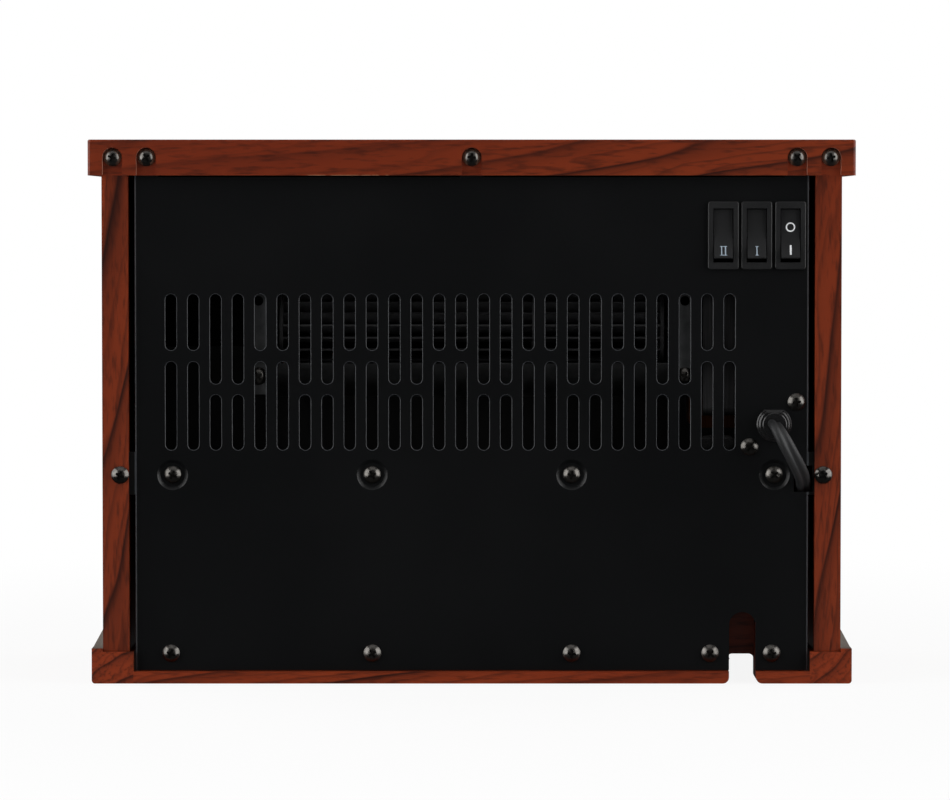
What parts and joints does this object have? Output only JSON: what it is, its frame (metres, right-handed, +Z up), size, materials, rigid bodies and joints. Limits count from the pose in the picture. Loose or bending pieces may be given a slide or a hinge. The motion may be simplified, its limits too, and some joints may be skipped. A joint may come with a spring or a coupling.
{
  "type": "mantel fireplace ceramic heater",
  "caption": "Small wood-grain mantel cabinet with a steel back panel, rocker switches, a ceramic fan heater and a flame effect behind a front window.",
  "frame": {"origin": "centre of the footprint at the surface that the base stands on", "axes": "+X across, towards the side away from the switches; +Y towards the back panel with the intake slots; +Z up"},
  "size_m": [0.3494, 0.3014, 0.2483],
  "materials": {
    "cherry_foil_board": "satin",
    "black_sheet_steel": "satin",
    "zinc_sheet_steel": "satin",
    "dark_sheet_steel": "matte",
    "black_screw_steel": "satin",
    "ground_steel": "bright",
    "black_wheel_metal": "satin",
    "lamination_steel": "matte",
    "copper_winding": "satin",
    "black_rubber": "matte",
    "brown_ceramic": "matte",
    "fin_aluminium": "satin",
    "pale_heat_plastic": "matte",
    "cutout_metal": "satin",
    "bright_brass": "bright",
    "silver_foil": "bright",
    "lamp_board_green": "satin",
    "frosted_acrylic": "frosted",
    "ember_resin": "matte",
    "log_resin": "matte",
    "window_glass": "clear",
    "switch_plastic": "satin",
    "black_nylon": "satin",
    "cord_vinyl": "satin"
  },
  "bodies": {
    "cabinet": {"back_panel": "black_sheet_steel", "base_front_rail": "cherry_foil_board", "base_moulding": "cherry_foil_board", "base_rear_rail": "cherry_foil_board", "base_side_rails": "cherry_foil_board", "blower_casing": "zinc_sheet_steel", "blower_end_plates": "zinc_sheet_steel", "blower_screws": "black_screw_steel", "cabinet_screws": "black_screw_steel", "cabinet_top": "cherry_foil_board", "ceramic_bars": "brown_ceramic", "cord_clamp_plate": "zinc_sheet_steel", "cord_clip": "black_nylon", "cord_coil": "cord_vinyl", "cord_tie": "black_nylon", "divider_shelf": "dark_sheet_steel", "ember_bed": "ember_resin", "flame_box_back": "zinc_sheet_steel", "flame_box_floor": "zinc_sheet_steel", "flame_box_walls": "zinc_sheet_steel", "flame_screen": "frosted_acrylic", "front_bottom_rail": "cherry_foil_board", "front_plate": "black_sheet_steel", "front_stiles": "cherry_foil_board", "front_top_rail": "cherry_foil_board", "heater_fins": "fin_aluminium", "heater_frame": "pale_heat_plastic", "high_heat_switch_housing": "switch_plastic", "lamp_board": "lamp_board_green", "left_side_board": "cherry_foil_board", "log_set": "log_resin", "low_heat_switch_housing": "switch_plastic", "motor_brackets": "zinc_sheet_steel", "motor_coil": "copper_winding", "motor_stator": "lamination_steel", "outlet_grille": "black_sheet_steel", "panel_screws": "black_screw_steel", "plug_blades": "bright_brass", "plug_body": "cord_vinyl", "power_cord": "cord_vinyl", "power_switch_housing": "switch_plastic", "right_side_board": "cherry_foil_board", "shaft_bush": "black_rubber", "shell_roof": "dark_sheet_steel", "shell_walls": "dark_sheet_steel", "spindle_brackets": "zinc_sheet_steel", "spindle_motor": "silver_foil", "strain_relief": "black_nylon", "switch_terminals": "bright_brass", "terminal_block": "black_nylon", "thermal_cutout": "cutout_metal", "window_glass": "window_glass"},
    "blower_rotor": {"blower_wheel": "black_wheel_metal", "blower_shaft": "ground_steel", "motor_rotor": "black_wheel_metal"},
    "flame_rotor": {"flame_spindle": "silver_foil"},
    "high_heat_rocker_body": {"high_heat_rocker": "switch_plastic"},
    "low_heat_rocker_body": {"low_heat_rocker": "switch_plastic"},
    "power_rocker_body": {"power_rocker": "switch_plastic"}
  },
  "joints": [
    {"name": "high_heat_rocker_press", "type": "hinge", "parent": "cabinet", "child": "high_heat_rocker_body", "pos_m": [-0.1147, 0.0752, 0.2047], "axis": [-1, 0, 0], "range_deg": [0, 20]},
    {"name": "low_heat_rocker_press", "type": "hinge", "parent": "cabinet", "child": "low_heat_rocker_body", "pos_m": [-0.1299, 0.0752, 0.2047], "axis": [-1, 0, 0], "range_deg": [0, 20]},
    {"name": "power_rocker_press", "type": "hinge", "parent": "cabinet", "child": "power_rocker_body", "pos_m": [-0.1453, 0.0752, 0.2047], "axis": [-1, 0, 0], "range_deg": [0, 20]},
    {"name": "blower_spin", "type": "hinge", "parent": "cabinet", "child": "blower_rotor", "pos_m": [0, 0.046, 0.162], "axis": [1, 0, 0], "continuous": true},
    {"name": "flame_spindle_spin", "type": "hinge", "parent": "cabinet", "child": "flame_rotor", "pos_m": [0, 0.04, 0.072], "axis": [1, 0, 0], "continuous": true}
  ]
}
